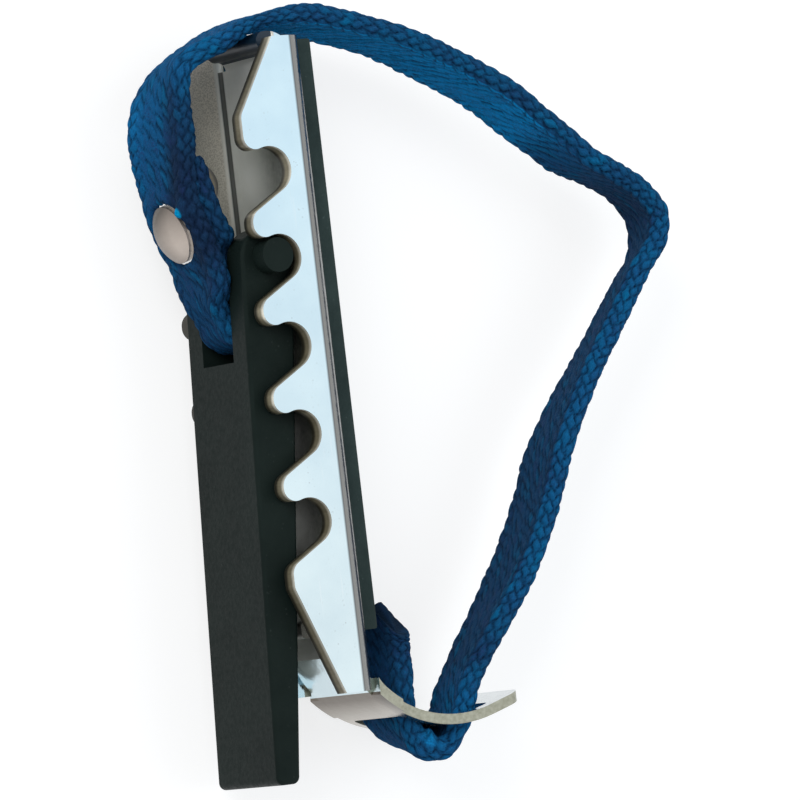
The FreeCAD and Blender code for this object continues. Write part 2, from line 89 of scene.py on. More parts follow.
class Net:
    """Short calls that add nodes to one tree and link them."""

    def __init__(self, tree):
        self.tree = tree

    def add(self, kind, **props):
        node = self.tree.nodes.new(kind)
        for key, value in props.items():
            setattr(node, key, value)
        return node

    def put(self, socket, value):
        if isinstance(value, bpy.types.NodeSocket):
            self.tree.links.new(value, socket)
        else:
            socket.default_value = value

    def math(self, operation, a, b=0.0, c=None, clamp=False):
        node = self.add("ShaderNodeMath", operation=operation, use_clamp=clamp)
        self.put(node.inputs[0], a)
        self.put(node.inputs[1], b)
        if c is not None:
            self.put(node.inputs[2], c)
        return node.outputs[0]

    def mix(self, factor, a, b, blend="MIX"):
        node = self.add("ShaderNodeMix", data_type="RGBA", blend_type=blend)
        self.put(node.inputs["Factor"], factor)
        self.put(node.inputs[6], a)
        self.put(node.inputs[7], b)
        return node.outputs[2]

    def noise(self, vector, scale, detail=3.0, roughness=0.55):
        node = self.add("ShaderNodeTexNoise")
        self.put(node.inputs["Vector"], vector)
        self.put(node.inputs["Scale"], scale)
        self.put(node.inputs["Detail"], detail)
        self.put(node.inputs["Roughness"], roughness)
        return node.outputs["Fac"]

    def ramp(self, value, low, high, out_low=0.0, out_high=1.0):
        node = self.add("ShaderNodeMapRange")
        self.put(node.inputs["Value"], value)
        self.put(node.inputs["From Min"], low)
        self.put(node.inputs["From Max"], high)
        self.put(node.inputs["To Min"], out_low)
        self.put(node.inputs["To Max"], out_high)
        return node.outputs["Result"]

    def stretched(self, vector, factors):
        node = self.add("ShaderNodeVectorMath", operation="MULTIPLY")
        self.put(node.inputs[0], vector)
        self.put(node.inputs[1], factors)
        return node.outputs[0]

    def bump(self, height, strength, distance):
        node = self.add("ShaderNodeBump")
        self.put(node.inputs["Height"], height)
        self.put(node.inputs["Strength"], strength)
        self.put(node.inputs["Distance"], distance)
        return node.outputs["Normal"]

    def coordinate(self, kind):
        return self.add("ShaderNodeTexCoord").outputs[kind]

    def parts(self, vector):
        node = self.add("ShaderNodeSeparateXYZ")
        self.put(node.inputs[0], vector)
        return node.outputs

    def group(self, group, **values):
        node = self.add("ShaderNodeGroup", node_tree=group)
        for key, value in values.items():
            self.put(node.inputs[key], value)
        return node.outputs


# %% Shared effect: clouding, the soft patches of an uneven finish
clouding, g_in, g_out = new_group(
    "clouding",
    [("Vector", "NodeSocketVector", None), ("Scale", "NodeSocketFloat", 120.0)],
    [("Amount", "NodeSocketFloat"), ("Fine", "NodeSocketFloat")],
)
net = Net(clouding)
broad = net.noise(g_in.outputs["Vector"], g_in.outputs["Scale"], 4.0, 0.6)
fine_scale = net.math("MULTIPLY", g_in.outputs["Scale"], 14.0)
fine = net.noise(g_in.outputs["Vector"], fine_scale, 3.0, 0.7)
net.put(g_out.inputs["Amount"], net.ramp(broad, 0.3, 0.7))
net.put(g_out.inputs["Fine"], net.ramp(fine, 0.35, 0.65))

# %% Shared effect: specks, the small pits and dust of plating and moulding
specks, g_in, g_out = new_group(
    "specks",
    [("Vector", "NodeSocketVector", None), ("Scale", "NodeSocketFloat", 3000.0)],
    [("Amount", "NodeSocketFloat")],
)
net = Net(specks)
cells = net.add("ShaderNodeTexVoronoi")
net.put(cells.inputs["Vector"], g_in.outputs["Vector"])
net.put(cells.inputs["Scale"], g_in.outputs["Scale"])
chance = net.noise(g_in.outputs["Vector"], net.math("MULTIPLY", g_in.outputs["Scale"], 0.3), 2.0)
dot = net.ramp(cells.outputs["Distance"], 0.28, 0.1)
net.put(g_out.inputs["Amount"], net.math("MULTIPLY", dot, net.ramp(chance, 0.55, 0.7)))

# %% Shared effect: drawn lines, the streaks left along one direction by shearing or polishing
drawn, g_in, g_out = new_group(
    "drawn_lines",
    [
        ("Vector", "NodeSocketVector", None),
        ("Stretch", "NodeSocketVector", (1.0, 1.0, 1.0)),
        ("Scale", "NodeSocketFloat", 1500.0),
    ],
    [("Height", "NodeSocketFloat")],
)
net = Net(drawn)
pulled = net.stretched(g_in.outputs["Vector"], g_in.outputs["Stretch"])
net.put(g_out.inputs["Height"], net.noise(pulled, g_in.outputs["Scale"], 4.0, 0.65))
print("shared effects:", clouding.name, specks.name, drawn.name)


# %% Material helper
def new_material(name):
    """Material, the short calls for its tree, and its main shader."""
    material = bpy.data.materials.new(name)
    material.use_nodes = True
    tree = material.node_tree
    shader = tree.nodes["Principled BSDF"]
    return material, Net(tree), shader


# %% [markdown]
# The channel is pressed from plated steel. Outside it is bright, a little cloudy and speckled, its
# sheared edges are rougher and cream to brown, and its inside is dull, olive and grainy. One
# material does all of it, with painted light and shade besides: masks from the place and the
# direction of the surface pick the finish and the painted light and shade, so they stay on the
# metal whatever way the part is turned.

# %% Plated channel: where its parts begin, in millimetres
TEETH_OUT_OF_X = -4.4
TONGUE_BELOW_Y = -30.6
TONGUE_OUT_OF_X = -3.6
TONGUE_RIM_BELOW_Y = -29.2
TONGUE_RIM_OUT_OF_X = -2.6
LIP_ABOVE_Y = 28.8
LIP_OUT_OF_X = -3.95
LIP_HALF_WIDTH = 4.95
NEAR = 0.05
print("tongue below Y", TONGUE_BELOW_Y, "and lip above Y", LIP_ABOVE_Y)

# %% Plated channel: masks
nickel, net, shader = new_material("nickel plate")
where = net.coordinate("Object")
place = net.parts(where)
facing = net.parts(net.coordinate("Normal"))
cloud = net.group(clouding, Vector=where, Scale=75.0)
speck = net.group(specks, Vector=where, Scale=2600.0)
streak = net.group(drawn, Vector=where, Stretch=(1.0, 1.0, 0.08), Scale=2600.0)
wiped = net.group(drawn, Vector=where, Stretch=(1.0, 0.06, 1.0), Scale=1400.0)


def both(*masks):
    """Where all the masks hold."""
    held = masks[0]
    for mask in masks[1:]:
        held = net.math("MULTIPLY", held, mask)
    return held


def above(value, limit):
    return net.math("GREATER_THAN", value, limit)


def below(value, limit):
    return net.math("LESS_THAN", value, limit)


height_off = net.math("ABSOLUTE", place[2])
across = net.math("ABSOLUTE", facing[2])
flange_rim = both(
    above(height_off, (HALF_INSIDE - NEAR) * MM),
    below(across, 0.5),
    below(place[0], TEETH_OUT_OF_X * MM),
)
tongue_rim = both(
    below(place[1], TONGUE_RIM_BELOW_Y * MM),
    above(place[0], TONGUE_RIM_OUT_OF_X * MM),
    above(across, 0.6),
)
rim = net.math("MAXIMUM", flange_rim, tongue_rim)
inside = both(
    below(height_off, (HALF_INSIDE + NEAR) * MM),
    below(place[0], (WEB_INNER + NEAR) * MM),
    net.math("SUBTRACT", 1.0, flange_rim),
)
on_tongue = both(below(place[1], TONGUE_BELOW_Y * MM), above(place[0], TONGUE_OUT_OF_X * MM))
# Where the lip curls under the strap, which gets painted shadow.
lip_end_shadow = both(
    above(place[1], LIP_ABOVE_Y * MM),
    below(place[0], LIP_OUT_OF_X * MM),
    below(height_off, LIP_HALF_WIDTH * MM),
)
print("masks for the rims, the inside, the lip and the tongue")

# %% [markdown]
# Outside, the plate goes from bluish at the lip to whiter at the tongue, carries a painted
# reflection, grey with a dark line, where the flanges bend into the back, and is warm on the tongue
# with painted shadow at its foot, under the flange's end. Inside, the back is olive, lighter with
# painted light near the lip and darker with painted shade under the near flange, and the far flange
# is sandy, with a painted highlight line and a painted shade line where they meet. The lip's curl
# under the strap gets painted shadow. The sheared rims carry a painted cream highlight at their
# outer line and painted shade, nearly black, on their inner half, and the far flange's rims are
# painted dark with shade.

# %% Plated channel: colours of the outside
bright = net.mix(cloud["Amount"], (0.54, 0.74, 0.87, 1), (0.67, 0.87, 0.97, 1))
whiter = net.mix(cloud["Amount"], (0.66, 0.80, 0.86, 1), (0.80, 0.93, 0.96, 1))
bright = net.mix(net.ramp(place[1], 20.0 * MM, -24.0 * MM), bright, whiter)
worn = net.math("MULTIPLY", net.ramp(wiped["Height"], 0.60, 0.72), 0.35)
bright = net.mix(worn, bright, (0.82, 0.90, 0.94, 1))
bright = net.mix(net.math("MULTIPLY", speck["Amount"], 0.3), bright, (0.30, 0.33, 0.36, 1))
# Painted reflection on the bends where the flanges turn into the back: grey, with a dark line.
bend = both(
    net.ramp(across, 0.972, 0.945),
    net.ramp(across, 0.15, 0.45),
    above(facing[0], 0.05),
    above(height_off, HALF_INSIDE * MM),
)
bend_tone = net.mix(net.ramp(across, 0.925, 0.960), (0.25, 0.255, 0.25, 1), (0.07, 0.08, 0.085, 1))
bright = net.mix(bend, bright, bend_tone)
tongue_low = net.mix(cloud["Amount"], (0.44, 0.405, 0.355, 1), (0.56, 0.52, 0.465, 1))
# Painted shadow on the tongue: dark at its foot under the flange's end, darker still on the near
# side close to the back.
foot_shadow = net.ramp(place[1], -33.2 * MM, -31.2 * MM)
tongue_tone = net.mix(foot_shadow, tongue_low, (0.17, 0.145, 0.12, 1))
flange_end_shadow = both(net.ramp(place[2], 4.5 * MM, 7.0 * MM), net.ramp(place[0], 3.4 * MM, 1.2 * MM))
tongue_tone = net.mix(net.math("MULTIPLY", flange_end_shadow, 0.85), tongue_tone, (0.075, 0.066, 0.055, 1))
tongue_tone = net.mix(net.ramp(place[0], 3.0 * MM, 6.5 * MM), tongue_tone, (0.66, 0.70, 0.71, 1))
bright = net.mix(on_tongue, bright, tongue_tone)
print("outside: bluish, whiter, bend and tongue")

# %% Plated channel: colours of the inside
# Painted shade on the back: light on its far side and dark under the near flange; painted light
# near the lip.
web_shade = net.ramp(place[2], -4.6 * MM, 2.0 * MM)
olive = net.mix(web_shade, (0.80, 0.82, 0.76, 1), (0.055, 0.068, 0.046, 1))
lip_light = both(net.ramp(place[1], 20.5 * MM, 26.5 * MM), 0.55)
olive = net.mix(lip_light, olive, (0.92, 0.92, 0.86, 1))
grain = net.ramp(net.noise(where, 6800.0, 2.0, 0.6), 0.42, 0.60)
up_flange = net.ramp(place[1], 17.0 * MM, 27.0 * MM)
sandy = net.mix(up_flange, (0.76, 0.73, 0.64, 1), (0.98, 0.90, 0.78, 1))
sandy = net.mix(net.math("MULTIPLY", grain, 0.55), sandy, (0.42, 0.38, 0.30, 1))
olive = net.mix(net.math("MULTIPLY", cloud["Fine"], 0.15), olive, (0.55, 0.54, 0.46, 1))
dull = net.mix(net.ramp(facing[2], 0.80, 0.95), olive, sandy)
# A painted highlight line beside each inner corner and a painted shade line along it.
glint = both(net.ramp(facing[2], 0.76, 0.84), net.ramp(facing[2], 0.99, 0.94))
dull = net.mix(glint, dull, (0.75, 0.74, 0.66, 1))
corner_shade = both(
    net.ramp(facing[2], 0.08, 0.20), net.ramp(facing[2], 0.80, 0.70), below(place[1], 28.6 * MM)
)
dull = net.mix(net.math("MULTIPLY", corner_shade, 0.92), dull, (0.03, 0.035, 0.03, 1))
print("inside: olive back, sandy flange, corner lines")

# %% Plated channel: colours of the rims, and all of them together
cream = net.mix(streak["Height"], (0.15, 0.125, 0.075, 1), (0.46, 0.41, 0.28, 1))
# Painted highlight along the rims' outer line and painted shade, nearly black, on their inner half.
rim_highlight = net.ramp(height_off, (HALF_OUTSIDE - 0.60) * MM, (HALF_OUTSIDE - 0.20) * MM)
cream = net.mix(rim_highlight, cream, (0.98, 0.93, 0.78, 1))
rim_shade = net.ramp(height_off, (HALF_INSIDE + 0.75) * MM, (HALF_INSIDE + 0.35) * MM)
cream = net.mix(net.math("MULTIPLY", rim_shade, flange_rim), cream, (0.045, 0.042, 0.028, 1))
# Painted shade on the far flange's rims, stronger low down.
far_rim_shade = both(
    flange_rim, below(place[2], 0.0), net.ramp(place[1], 14.0 * MM, 8.0 * MM, 0.4, 1.0)
)
cream = net.mix(far_rim_shade, cream, (0.045, 0.042, 0.034, 1))
tongue_edge = net.mix(streak["Height"], (0.17, 0.17, 0.115, 1), (0.56, 0.56, 0.46, 1))
cream = net.mix(tongue_rim, cream, tongue_edge)

colour = net.mix(inside, bright, dull)
colour = net.mix(rim, colour, cream)
# Painted shadow: the lip's curl under the strap is dark navy.
colour = net.mix(lip_end_shadow, colour, (0.008, 0.022, 0.040, 1))
net.put(shader.inputs["Base Color"], colour)
print("rims: outer line, burr, far rim and tongue's edge")

# %% Plated channel: gloss and relief
rough = net.ramp(cloud["Fine"], 0.0, 1.0, 0.17, 0.23)
rough = net.math("ADD", rough, net.math("MULTIPLY", inside, 0.17))
rough = net.math("ADD", rough, net.math("MULTIPLY", rim, 0.14))
rough = net.math("ADD", rough, net.math("MULTIPLY", far_rim_shade, 0.30))
net.put(shader.inputs["Roughness"], rough)
# Less metal on the dull inside and on the rims, and none on the far rims, which carry painted
# shade.
dulling_and_shade = net.math("MULTIPLY", inside, 0.9)
dulling_and_shade = net.math("MAXIMUM", dulling_and_shade, net.math("MULTIPLY", rim, 0.55))
dulling_and_shade = net.math("MAXIMUM", dulling_and_shade, far_rim_shade)
net.put(shader.inputs["Metallic"], net.math("SUBTRACT", 1.0, dulling_and_shade))
relief = net.math("ADD", net.math("MULTIPLY", streak["Height"], rim), cloud["Fine"])
net.put(shader.inputs["Normal"], net.bump(relief, 0.12, 0.00006))
print(nickel.name, len(nickel.node_tree.nodes), "nodes")

# %% [markdown]
# The rivet's head is plain nickel that has lost its shine and looks pinkish, with painted shade
# that darkens it towards the lip and towards its far side. Its washer and shank, which the head
# keeps covered, are still bright.

# %% Rivet head
rivet_metal, net, shader = new_material("rivet nickel")
where = net.coordinate("Object")
place = net.parts(where)
cloud = net.group(clouding, Vector=where, Scale=260.0)
tone = net.mix(cloud["Amount"], (0.46, 0.395, 0.345, 1), (0.56, 0.485, 0.43, 1))
# Painted shade: the head darkens towards the lip and towards its far side.
towards_lip = net.ramp(place[1], 12.4 * MM, 16.5 * MM)
away_from_top = net.ramp(place[2], 1.5 * MM, -3.0 * MM)
dulling_and_shade = net.math("ADD", towards_lip, away_from_top)
dulling_and_shade = net.math("MULTIPLY", dulling_and_shade, 0.97, clamp=True)
tone = net.mix(dulling_and_shade, tone, (0.12, 0.103, 0.088, 1))
net.put(shader.inputs["Base Color"], tone)
net.put(shader.inputs["Roughness"], net.ramp(cloud["Fine"], 0.0, 1.0, 0.34, 0.46))
shader.inputs["Metallic"].default_value = 0.65
net.put(shader.inputs["Normal"], net.bump(cloud["Fine"], 0.10, 0.00004))
print(rivet_metal.name, len(rivet_metal.node_tree.nodes), "nodes")

# %% Bright washer and shank
washer_metal, net, shader = new_material("washer nickel")
where = net.coordinate("Object")
cloud = net.group(clouding, Vector=where, Scale=400.0)
tone = net.mix(cloud["Amount"], (0.66, 0.68, 0.68, 1), (0.88, 0.89, 0.88, 1))
net.put(shader.inputs["Base Color"], tone)
net.put(shader.inputs["Roughness"], net.ramp(cloud["Fine"], 0.0, 1.0, 0.12, 0.22))
shader.inputs["Metallic"].default_value = 1.0
print(washer_metal.name, len(washer_metal.node_tree.nodes), "nodes")

# %% [markdown]
# The pad is matt rubber with lighter dust in its pores. The lever is moulded in black plastic with
# a satin skin, faint flow lines along its length and small bright specks.

# %% Rubber pad
rubber, net, shader = new_material("pad rubber")
where = net.coordinate("Object")
cloud = net.group(clouding, Vector=where, Scale=240.0)
speck = net.group(specks, Vector=where, Scale=3400.0)
dark = net.mix(cloud["Amount"], (0.018, 0.030, 0.029, 1), (0.032, 0.050, 0.047, 1))
dark = net.mix(net.math("MULTIPLY", speck["Amount"], 0.5), dark, (0.11, 0.14, 0.135, 1))
net.put(shader.inputs["Base Color"], dark)
net.put(shader.inputs["Roughness"], net.ramp(cloud["Fine"], 0.0, 1.0, 0.55, 0.72))
shader.inputs["Specular IOR Level"].default_value = 0.12
net.put(shader.inputs["Normal"], net.bump(cloud["Fine"], 0.25, 0.00008))
print(rubber.name, len(rubber.node_tree.nodes), "nodes")

# %% Lever plastic
plastic, net, shader = new_material("lever plastic")
where = net.coordinate("Object")
cloud = net.group(clouding, Vector=where, Scale=140.0)
speck = net.group(specks, Vector=where, Scale=2200.0)
flow = net.group(drawn, Vector=where, Stretch=(1.0, 0.12, 1.0), Scale=900.0)
dark = net.mix(cloud["Amount"], (0.0060, 0.0110, 0.0098, 1), (0.0105, 0.0175, 0.0155, 1))
dark = net.mix(net.math("MULTIPLY", speck["Amount"], 0.3), dark, (0.05, 0.06, 0.058, 1))
net.put(shader.inputs["Base Color"], dark)
net.put(shader.inputs["Roughness"], net.ramp(cloud["Fine"], 0.0, 1.0, 0.40, 0.54))
shader.inputs["Specular IOR Level"].default_value = 0.07
relief = net.math("ADD", net.math("MULTIPLY", flow["Height"], 0.6), cloud["Fine"])
net.put(shader.inputs["Normal"], net.bump(relief, 0.10, 0.00008))
print(plastic.name, len(plastic.node_tree.nodes), "nodes")

# %% [markdown]
# The strap's colour follows its weave. Each vertex carries how high it stands in the weave, a
# chance value for its stitch and how near it is to an edge, all from the formula that shapes the
# mesh, and a tone of painted light and shade. The material paints shade into the low places of the
# weave, lights the yarn by the painted tone, turns the chance into lighter and purplish stitches,
# paints lighter highlights along the edges, and adds fibres that run along the strap and broad
# paler patches.

# %% Woven strap
webbing, net, shader = new_material("woven strap")
stitch = net.add("ShaderNodeAttribute", attribute_name="weave")
parts = net.add("ShaderNodeSeparateColor")
net.put(parts.inputs[0], stitch.outputs["Color"])
high, luck, edge = parts.outputs["Red"], parts.outputs["Green"], parts.outputs["Blue"]
# Alpha holds the painted light and shade of each vertex.
sunlit = stitch.outputs["Alpha"]
where = net.coordinate("Object")
uv = net.add("ShaderNodeUVMap", uv_map="along").outputs["UV"]
fibre = net.group(drawn, Vector=uv, Stretch=(1.0, 4.5, 1.0), Scale=3.1)
patch = net.group(clouding, Vector=where, Scale=320.0)
level = net.ramp(high, 0.05, 0.75)
# Painted light and shade: the tone runs the yarn from dark navy to lit blue, and above 1 to a
# painted highlight.
navy = net.mix(sunlit, (0.0100, 0.026, 0.070, 1), (0.0080, 0.125, 0.325, 1))
navy = net.mix(net.ramp(sunlit, 1.0, 1.6), navy, (0.0060, 0.300, 0.720, 1))
# Painted shade in the low places of the weave.
yarn = net.mix(level, (0.0035, 0.011, 0.032, 1), navy)
purple = both(net.ramp(luck, 0.34, 0.12), net.ramp(patch["Fine"], 0.3, 0.8), level)
yarn = net.mix(net.math("MULTIPLY", purple, 0.5), yarn, (0.022, 0.030, 0.120, 1))
# Lighter stitches: faded at random, plus a painted highlight along the edges, all scaled by the
# painted light.
faded_and_highlit = net.math("MAXIMUM", net.ramp(luck, 0.62, 0.95), net.math("MULTIPLY", edge, 0.45))
faded_and_highlit = both(faded_and_highlit, level, net.ramp(patch["Amount"], 0.25, 0.85, 0.1, 1.0))
faded_and_highlit = both(faded_and_highlit, net.ramp(sunlit, 0.0, 0.5, 0.25, 1.0))
yarn = net.mix(net.math("MULTIPLY", faded_and_highlit, 0.8), yarn, (0.002, 0.150, 0.330, 1))
melted = net.ramp(edge, 1.15, 1.5)
yarn = net.mix(melted, yarn, (0.001, 0.33, 0.66, 1))
shade = net.ramp(fibre["Height"], 0.3, 0.7, 0.62, 1.36)
grey = net.add("ShaderNodeCombineColor")
for channel in range(3):
    net.put(grey.inputs[channel], shade)
net.put(shader.inputs["Base Color"], net.mix(1.0, yarn, grey.outputs[0], "MULTIPLY"))
net.put(shader.inputs["Roughness"], net.ramp(fibre["Height"], 0.0, 1.0, 0.66, 0.82))
relief = net.math("ADD", fibre["Height"], net.math("MULTIPLY", patch["Fine"], 0.8))
net.put(shader.inputs["Normal"], net.bump(relief, 0.6, 0.00018))
shader.inputs["Specular IOR Level"].default_value = 0.06
shader.inputs["Sheen Weight"].default_value = 0.05
shader.inputs["Sheen Roughness"].default_value = 0.45
shader.inputs["Sheen Tint"].default_value = (0.10, 0.45, 0.80, 1)
print(webbing.name, len(webbing.node_tree.nodes), "nodes")

# %% [markdown]
# The rigid parts keep the meshes they came with, and each gets one of these materials. The washer
# and the rivet's post share the bright one.

# %% Put the materials on the CAD nodes
looks = {
    "channel_bar": nickel,
    "rubber_pad": rubber,
    "toggle_lever": plastic,
    "rivet_post": washer_metal,
    "rivet_washer": washer_metal,
    "rivet_cap": rivet_metal,
}
for node, material in looks.items():
    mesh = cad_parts[node].data
    mesh.materials.clear()
    mesh.materials.append(material)
print("dressed", len(looks), "CAD nodes")

# %% [markdown]
# The strap is one length of flat webbing, so it is swept along one course from end to end and then
# cut where its pieces move on different bodies. The course is a list of points. Beside each point
# stands the lean, how far the near edge stands outwards of the far edge, because the photographed
# strap twists as it goes round, and under the tongue also the skew, how far it runs ahead.

# %% Course of the strap: x, y, lean and skew in millimetres
riveted_layer = [
    (-12.70, 20.15, 0.2, 0.0),
    (-12.45, 18.70, 0.2, 0.0),
    (-12.15, 17.00, 0.2, 0.0),
    (-11.65, 15.20, 0.2, 0.0),
    (-10.95, 13.50, 0.2, 0.0),
    (-10.25, 11.90, 0.2, 0.0),
    (-9.95, 10.30, 0.1, 0.0),
    (-9.00, 8.50, 0.0, 0.0),
]
WRAP_RADIUS = 2.35
round_crossbar = []
for degrees in range(50, -200, -25):
    angle = math.radians(degrees)
    x = CROSSBAR[0] + WRAP_RADIUS * math.cos(angle)
    y = CROSSBAR[1] + WRAP_RADIUS * math.sin(angle)
    round_crossbar.append((x, y, 0.0, 0.0))
outer_layer = [
    (-11.12, 6.50, 0.1, 0.0),
    (-11.33, 8.40, 0.15, 0.0),
    (-11.74, 10.45, 0.2, 0.0),
    (-12.65, 13.33, 0.1, 0.0),
    (-13.70, 16.45, -0.1, 0.0),
    (-13.95, 19.65, -1.05, 0.0),
]
over_lip = [
    (-13.98, 22.60, -1.70, 0.0),
    (-13.57, 25.60, -0.60, 0.0),
    (-12.30, 28.30, 1.20, 0.0),
    (-10.35, 29.55, 0.95, 0.0),
    (-8.40, 30.40, 0.35, 0.0),
    (-6.80, 31.28, 0.20, 0.0),
    (-5.20, 31.98, 0.10, 0.0),
    (-2.30, 32.57, 0.0, 0.0),
    (1.15, 32.58, 0.25, 0.0),
    (4.40, 31.90, 0.20, 0.0),
]
round_neck = [
    (7.60, 31.00, 0.05, 0.0),
    (10.75, 30.00, 0.08, 0.0),
    (13.76, 28.65, 0.17, 0.0),
    (16.68, 27.10, 0.30, 0.0),
    (19.56, 25.51, 0.22, 0.0),
    (22.34, 23.73, 0.24, 0.0),
    (24.82, 21.57, 0.12, 0.0),
    (27.40, 19.52, -0.05, 0.0),
    (29.94, 17.41, -0.42, 0.0),
    (32.80, 15.90, -0.90, 0.0),
    (35.55, 14.10, -1.35, 0.0),
    (37.45, 11.46, -1.74, 0.0),
    (37.04, 8.38, -2.45, 0.0),
    (34.93, 5.79, -2.60, 0.0),
    (32.95, 3.15, -2.44, 0.0),
    (30.98, 0.51, -2.37, 0.0),
    (28.95, -2.10, -2.14, 0.0),
    (26.95, -4.72, -1.80, 0.0),
    (25.14, -7.48, -1.42, 0.0),
    (23.43, -10.30, -1.00, 0.0),
    (22.16, -13.34, -1.00, 0.0),
    (20.75, -16.32, -0.85, 0.0),
    (19.13, -19.20, -0.75, 0.0),
    (17.32, -21.95, -0.74, 0.0),
    (15.38, -24.62, -1.04, 0.0),
    (13.33, -27.22, -1.26, 0.0),
    (11.50, -29.80, -1.50, 0.0),
]
through_tongue = [
    (10.30, -31.80, -1.5, 0.0),
    (9.68, -33.43, -1.4, 0.5),
    (8.72, -34.95, -1.0, 1.4),
    (7.35, -35.95, 0.8, 2.5),
    (4.95, -35.70, 2.2, 1.4),
    (3.50, -34.20, 1.2, 0.1),
    (2.80, -32.00, -0.2, 0.0),
    (2.50, -29.50, -1.4, 0.0),
    (2.45, -26.50, -1.7, 0.0),
    (2.50, -22.20, -1.6, 0.0),
]
print(len(over_lip), "points over the lip,", len(round_neck), "round the neck")

# %% Smooth course through the points
STEP = 0.18


def course_through(points):
    """Smooth curve through the points at even steps, in all four columns."""
    points = np.array(points, dtype=float)
    runs = np.hypot(*np.diff(points[:, :2], axis=0).T)
    chord = np.concatenate([[0.0], np.cumsum(runs)])
    slope = np.gradient(points, chord, axis=0)
    at = np.arange(0.0, chord[-1], STEP)
    k = np.clip(np.searchsorted(chord, at, "right") - 1, 0, len(chord) - 2)
    h = (chord[k + 1] - chord[k])[:, None]
    f = (at - chord[k])[:, None] / h
    return (
        (2 * f**3 - 3 * f**2 + 1) * points[k]
        + (f**3 - 2 * f**2 + f) * h * slope[k]
        + (3 * f**2 - 2 * f**3) * points[k + 1]
        + (f**3 - f**2) * h * slope[k + 1]
    )


course = course_through(
    riveted_layer + round_crossbar + outer_layer + over_lip + round_neck + through_tongue
)
runs = np.hypot(*np.diff(course[:, :2], axis=0).T)
along = np.concatenate([[0.0], np.cumsum(runs)])
print("strap", len(course), "rings,", round(along[-1], 1), "mm long")

# %% [markdown]
# The weave is a flat braid. Looked at round the strap's girth it is twenty-two rows of slanted
# stitches: five flat rows on each face, which all slant one way, and six bolder rows round each
# edge, where two strands cross in chevrons and leave deep pits. Every row drifts a little by
# itself. A formula gives the height at every point, and the mesh is really that shape, so the
# edges are scalloped in outline too.

# %% Rows round the girth
PITCH = 1.4
EDGE_ROW = 0.85
EDGE_ROWS = 3
FACE_ROWS = 5
LUCKY_STITCHES = 211
quarter = math.pi / 2 * EDGE_RADIUS
flat = 2 * FLAT_HALF
girth = 2 * flat + 4 * quarter
face_row = (girth / 2 - 2 * EDGE_ROWS * EDGE_ROW) / FACE_ROWS
half_rows = [EDGE_ROW] * EDGE_ROWS + [face_row] * FACE_ROWS + [EDGE_ROW] * EDGE_ROWS
row_edges = np.concatenate([[0.0], np.cumsum(half_rows * 2)])
ROWS = len(half_rows) * 2
is_edge = np.array(([True] * EDGE_ROWS + [False] * FACE_ROWS + [True] * EDGE_ROWS) * 2)
slants = np.where(is_edge, 0.65 * np.where(np.arange(ROWS) % 2, 1.0, -1.0), 0.85)
offsets = np.where(is_edge, 0.5 * (np.arange(ROWS) % 2 == 0), 0.37 * np.arange(ROWS))
row_waver = np.where(is_edge, 0.22, 0.10)
chance = np.random.default_rng(7)
luck_of = chance.random((ROWS, LUCKY_STITCHES))
drift_of = 2 * np.pi * chance.random(ROWS)
print(ROWS, "rows, face rows", round(face_row, 2), "mm wide")


def weave(along, around):
    """Height from 0 to 1 and chance value, for each place along and each place round the girth."""
    along = along[:, None]
    beat = along + 0.30 * np.sin(0.31 * along + 0.7) + 0.10 * np.sin(1.7 * along)
    row_place = np.interp(around, row_edges, np.arange(ROWS + 1))[None, :]
    row = np.floor(row_place % ROWS).astype(int)
    wave = np.cos(2 * np.pi * beat / PITCH) * np.cos(np.pi * row_place)
    row_place = row_place + row_waver[row] * wave
    row = np.floor(row_place)
    within = row_place - row
    row = (row % ROWS).astype(int)
    drift = 0.20 * np.sin(0.55 * along + drift_of[row])
    drift = drift + 0.08 * np.sin(2.3 * along + 3 * drift_of[row])
    phase = beat / PITCH + offsets[row] + slants[row] * (within - 0.5) + drift
    number = np.floor(phase)
    stitch = np.sin(np.pi * (phase - number))
    ridge = np.sqrt(np.clip(1 - (2 * within - 1) ** 2, 0, 1))
    luck = luck_of[row, number.astype(int) % LUCKY_STITCHES]
    bold = ridge * (0.10 + 0.90 * stitch**0.6) * (0.74 + 0.38 * luck)
    groove = 0.45 * (1 - ridge) * stitch + 1.0 * (1 - stitch**0.8)
    plain = 1 - groove * (0.45 + 0.85 * luck)
    return np.where(is_edge[row], bold, np.clip(plain, 0, 1)), luck


# %% [markdown]
# Each ring of the sweep is the strap's section: two flat faces joined by half rounds. The rings
# stand across the course, turned by the lean and the skew, and every point is moved in or out by
# the weave. The webbing narrows in the lever's fork, is pressed thinner over the lip and is
# fuller on the side that faces the tongue's bar. It also swells round the rivet, which is sunk
# into it, and a melted tag of yarn stands beside the rivet.

# %% Section of the strap
RING = 120
around = np.arange(RING) * girth / RING
corner_arc = [0, quarter, quarter + flat, 3 * quarter + flat, 3 * quarter + 2 * flat, girth]
angle = np.interp(
    around, corner_arc, [0, math.pi / 2, math.pi / 2, 1.5 * math.pi, 1.5 * math.pi, 2 * math.pi]
)
flat_share = np.interp(around, corner_arc, [-1, -1, 1, 1, -1, -1])
out_across = -np.cos(angle)
out_face = np.sin(angle)


def tapered(values, low, high):
    """Rises smoothly from 0 at low to 1 at high."""
    share = np.clip((values - low) / (high - low), 0, 1)
    return share * share * (3 - 2 * share)


